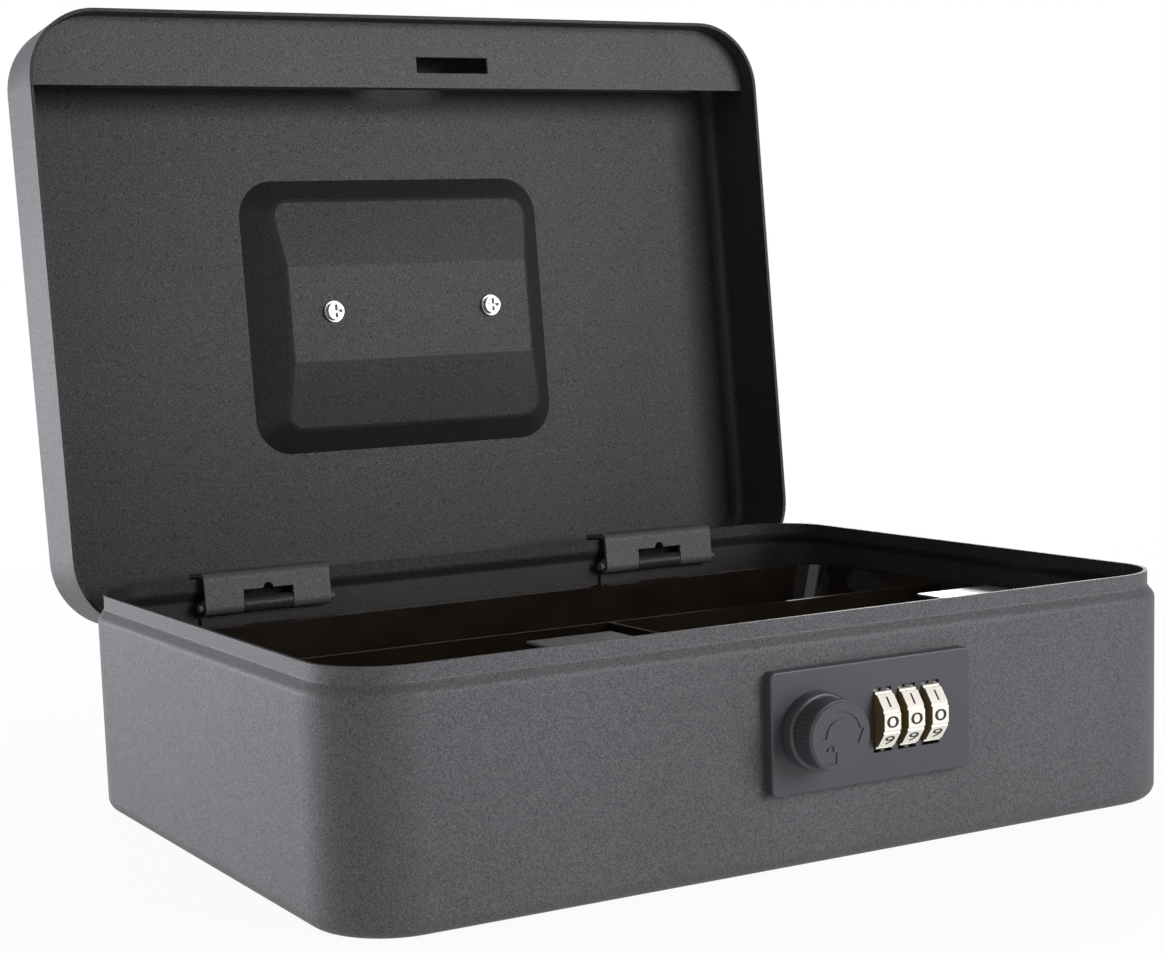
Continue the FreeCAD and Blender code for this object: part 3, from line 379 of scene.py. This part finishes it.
# %% Bars and wedges on the face
DISC_THICK = 0.3 * MM
MARK_DEPTH = DISC_THICK * 3
UPRIGHT = (math.pi / 2, 0, 0)
knob_low, knob_high = (Vector(corner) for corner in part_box("knob"))
face_middle = (knob_low + knob_high) / 2
face_middle.y = knob_low.y - DISC_THICK / 2
print("the knob is", round((knob_high.x - knob_low.x) / MM, 1), "mm across")


def on_face(across, up):
    """A place on the knob's face, measured in millimetres from its middle."""
    return face_middle + Vector((across, 0, up)) * MM


def place_corners(piece, flat_places):
    """Move a piece's corners to places on the face; the sign of z tells front from back."""
    for corner, flat in zip(piece.data.vertices, flat_places):
        front = Vector((0, -MARK_DEPTH / 2, 0))
        corner.co = flat + (front if corner.co.z > 0 else -front)


def mend_normals(piece):
    make_active(piece)
    bpy.ops.object.mode_set(mode="EDIT")
    bpy.ops.mesh.select_all(action="SELECT")
    bpy.ops.mesh.normals_make_consistent(inside=False)
    bpy.ops.object.mode_set(mode="OBJECT")
    return piece


def spun_bar(centre, inner, outer, start, sweep, steps):
    """A curved bar: an upright rectangle spun clockwise on the face, about a centre on it."""
    deselect()
    away = Vector((math.cos(start), 0, math.sin(start))) * MM
    bpy.ops.mesh.primitive_plane_add(size=1, rotation=UPRIGHT)
    piece = bpy.context.active_object
    bpy.ops.object.transform_apply(rotation=True)
    reaches = [inner if corner.co.x < 0 else outer for corner in piece.data.vertices]
    place_corners(piece, [centre + away * reach for reach in reaches])
    bpy.ops.object.mode_set(mode="EDIT")
    bpy.ops.mesh.select_all(action="SELECT")
    bpy.ops.mesh.spin(steps=steps, angle=-sweep, center=centre, axis=(0, 1, 0))
    bpy.ops.object.mode_set(mode="OBJECT")
    return mend_normals(piece)


def wedge(tip, left, right):
    """A three-sided plate with its corners at three places on the face."""
    deselect()
    bpy.ops.mesh.primitive_cylinder_add(vertices=3, radius=1, depth=1)
    piece = bpy.context.active_object
    corners = [corner.co for corner in piece.data.vertices]
    place_corners(piece, [tip if at.y > 0 else left if at.x < 0 else right for at in corners])
    return mend_normals(piece)


# %% Arrow and padlock
ARROW_INNER, ARROW_OUTER = 4.1, 6.0
HEAD_INNER, HEAD_OUTER = 3.2, 7.0
HEAD_TIP = 5.6
BAND_STEPS, SHACKLE_STEPS = 30, 18
LOCK_WIDTH, LOCK_HEIGHT = 3.0, 2.8
SHACKLE_INNER, SHACKLE_OUTER = 0.6, 1.2
lock_middle, shackle_middle = on_face(-2.8, -5.1), on_face(-3.3, -2.9)
shackle_start, shackle_sweep = math.radians(200), math.radians(230)
arrow_start, arrow_end, head_end = (math.radians(angle) for angle in (183, 12, -24))


def round_face(reach, angle):
    return on_face(reach * math.cos(angle), reach * math.sin(angle))


arrow_sweep = arrow_start - arrow_end
band = spun_bar(on_face(0, 0), ARROW_INNER, ARROW_OUTER, arrow_start, arrow_sweep, BAND_STEPS)
head = wedge(
    round_face(HEAD_TIP, head_end), round_face(HEAD_INNER, arrow_end), round_face(HEAD_OUTER, arrow_end)
)
deselect()
bpy.ops.mesh.primitive_cube_add(size=1, location=lock_middle)
lock_body = bpy.context.active_object
lock_body.scale = (LOCK_WIDTH * MM, MARK_DEPTH, LOCK_HEIGHT * MM)
bpy.ops.object.transform_apply(location=True, scale=True)
shackle = spun_bar(
    shackle_middle, SHACKLE_INNER, SHACKLE_OUTER, shackle_start, shackle_sweep, SHACKLE_STEPS
)
print("the arrow's band has", len(band.data.polygons), "faces, the shackle", len(shackle.data.polygons))

# %% Disc with the marks cut through
DISC_BACK, DISC_FRONT = 8.5 * MM, 8.3 * MM
DISC_SIDES = 96
deselect()
bpy.ops.mesh.primitive_cone_add(
    vertices=DISC_SIDES, radius1=DISC_BACK, radius2=DISC_FRONT, depth=DISC_THICK,
    location=face_middle, rotation=UPRIGHT,
)
disc = bpy.context.active_object
for mark in (band, head, lock_body, shackle):
    make_active(disc)
    cutter = disc.modifiers.new("mark", "BOOLEAN")
    cutter.operation = "DIFFERENCE"
    cutter.solver = "EXACT"
    cutter.object = mark
    bpy.ops.object.modifier_apply(modifier=cutter.name)
    bpy.data.objects.remove(mark)
finish_piece(disc, "knob_face_disc", abs_plastic, "knob")

# %% [markdown]
# ## Floor and room
#
# The box stands in front of a white backdrop, in a room that is dimmer overhead and on the
# camera's side. The camera sees plain white all round. Glossy and clear finishes see the backdrop
# as white too, but in front of the box they mirror the dim room, which is what shapes the box. The
# floor glows for the camera and in reflections, more so with the distance from the box, so that a
# faint soft shadow is left under the box and no edge shows where the floor ends.

# %% Floor
FLOOR_SIZE = 8.0
GLOW_NEAR, GLOW_FAR = 0.94, 1.0
GLOW_START, GLOW_END = 0.16, 0.75
deselect()
bpy.ops.mesh.primitive_plane_add(size=FLOOR_SIZE, location=(0, 0, cad_box[0][2]))
floor = bpy.context.active_object
floor.name = "studio_floor"
floor_paper = grainy_finish(
    "paper_backdrop_white", speck=4 * MM, colours=("#e6e8f2", "#eceef6"), roughness=(0.55, 0.65)
)
tree = floor_paper.node_tree
shader = tree.nodes["Principled BSDF"]
rays = add_node(tree, "ShaderNodeLightPath").outputs
mirrored = {0: rays["Is Glossy Ray"], 1: rays["Is Transmission Ray"]}
mirrored = add_node(tree, "ShaderNodeMath", mirrored, operation="MAXIMUM")
seen = add_node(tree, "ShaderNodeMath", {0: rays["Is Camera Ray"], 1: mirrored}, operation="MAXIMUM")
place = add_node(tree, "ShaderNodeTexCoord").outputs["Object"]
away = add_node(tree, "ShaderNodeVectorMath", {0: place}, operation="LENGTH").outputs["Value"]
away = {"Value": away, "From Min": GLOW_START, "From Max": GLOW_END}
share = add_node(tree, "ShaderNodeMapRange", away | {"To Min": GLOW_NEAR, "To Max": GLOW_FAR})
seen = add_node(tree, "ShaderNodeMath", {0: seen, 1: share}, operation="MULTIPLY")
glow = add_node(tree, "ShaderNodeEmission", {"Color": WHITE, "Strength": 1.0})
blend = add_node(tree, "ShaderNodeMixShader", {0: seen, 1: shader, 2: glow})
tree.links.new(blend.outputs["Shader"], tree.nodes["Material Output"].inputs["Surface"])
floor.data.materials.append(floor_paper)

# %% Room
BACKDROP_LIGHT, FRONT_LIGHT = 0.9, 0.15
MIRRORED_BACKDROP = 1.0
BACKWARD_AND_LOW = (0, 1, -0.5)
FRONT_ENDS, BACKDROP_STARTS = -0.3, 0.35
world = bpy.data.worlds.new("white_backdrop_room")
bpy.context.scene.world = world
world.use_nodes = True
tree = world.node_tree
rays = add_node(tree, "ShaderNodeLightPath").outputs
mirrored = {0: rays["Is Glossy Ray"], 1: rays["Is Transmission Ray"]}
mirrored = add_node(tree, "ShaderNodeMath", mirrored, operation="MAXIMUM")
backdrop = {"Value": mirrored, "To Min": BACKDROP_LIGHT, "To Max": MIRRORED_BACKDROP}
backdrop = add_node(tree, "ShaderNodeMapRange", backdrop).outputs["Result"]
way = add_node(tree, "ShaderNodeTexCoord").outputs["Generated"]
turned = add_node(tree, "ShaderNodeVectorMath", {0: way, 1: BACKWARD_AND_LOW}, operation="DOT_PRODUCT")
turned = turned.outputs["Value"]
turned = {"Value": turned, "From Min": FRONT_ENDS, "From Max": BACKDROP_STARTS}
brightness = {"To Min": FRONT_LIGHT, "To Max": backdrop}
level = add_node(tree, "ShaderNodeMapRange", turned | brightness, interpolation_type="SMOOTHSTEP")
room = tree.nodes["Background"]
room.inputs["Color"].default_value = paint("#f6f7fc")
tree.links.new(level.outputs["Result"], room.inputs["Strength"])
white = add_node(tree, "ShaderNodeBackground", {"Color": WHITE, "Strength": 1.0})
blend = add_node(tree, "ShaderNodeMixShader", {0: rays["Is Camera Ray"], 1: room, 2: white})
tree.links.new(blend.outputs["Shader"], tree.nodes["World Output"].inputs["Surface"])
print("floor and room have", len(floor_paper.node_tree.nodes), "and", len(tree.nodes), "nodes")

# %% [markdown]
# ## Lamps
#
# Four weak soft boxes give the light a direction. One at the front right brings out the lock, and
# a weak one at the left keeps the hollow of the lid from going black. A low strip far behind the
# box at the left grazes its left side: at that height it lights the side and misses the shoulder
# over it. The last one, at the right behind the box, shines down on the tray's label plates.

# %% Soft boxes
def soft_box(name, place, target, width, height, watts, colour):
    """A rectangular lamp at one place that looks at another."""
    deselect()
    bpy.ops.object.light_add(type="AREA", location=place)
    lamp = bpy.context.active_object
    lamp.name = name
    lamp.data.energy = watts
    lamp.data.shape = "RECTANGLE"
    lamp.data.size = width
    lamp.data.size_y = height
    lamp.data.color = paint(colour)[:3]
    lamp.rotation_euler = (Vector(target) - Vector(place)).to_track_quat("-Z", "Y").to_euler()


soft_box(
    "soft_box_right", place=(0.5, -0.88, 0.4), target=(0, -0.05, 0.08),
    width=0.5, height=0.5, watts=8.0, colour="#fcfcff",
)
soft_box(
    "soft_box_left_back", place=(-1.25, 1.35, 0.1), target=(-0.1, 0, 0.06),
    width=1.0, height=0.18, watts=17, colour="#f6f8ff",
)
soft_box(
    "soft_box_left", place=(-1.3, -0.5, 0.5), target=(0, 0, 0.08),
    width=1.2, height=1.2, watts=4.0, colour="#fff8f2",
)
soft_box(
    "soft_box_right_back", place=(1.0, 1.1, 0.8), target=(0.1, 0, 0.05),
    width=0.5, height=0.5, watts=10.0, colour="#ffffff",
)

# %% [markdown]
# ## Camera
#
# The camera stands to the left of the lock and a little above the box. Its place and turn were
# found by fitting the box's straight edges; the frame is a cropped one, so the lens is shifted.

# %% Camera
IMAGE_WIDTH, IMAGE_HEIGHT = 1164, 953
SENSOR = 36.0
CLIP_START = 10 * MM
camera_place = Vector((-312.86, -519.20, 143.14)) * MM
turn_right = math.radians(27.337)
look_down = math.radians(7.656)
lean = math.radians(2.182)
focal_pixels = 2202.2
optical_x, optical_y = 470.3, 586.2
deselect()
bpy.ops.object.camera_add(location=camera_place)
camera = bpy.context.active_object
aim = Euler((math.pi / 2 - look_down, 0, -turn_right)).to_matrix()
camera.rotation_euler = (aim @ Matrix.Rotation(-lean, 3, "Z")).to_euler()
camera.data.sensor_width = SENSOR
camera.data.lens = focal_pixels / IMAGE_WIDTH * SENSOR
camera.data.shift_x = (IMAGE_WIDTH / 2 - optical_x) / IMAGE_WIDTH
camera.data.shift_y = (optical_y - IMAGE_HEIGHT / 2) / IMAGE_WIDTH
camera.data.clip_start = CLIP_START
bpy.context.scene.camera = camera
bpy.context.scene.view_settings.view_transform = "Standard"
print("camera lens", round(camera.data.lens, 1), "mm")
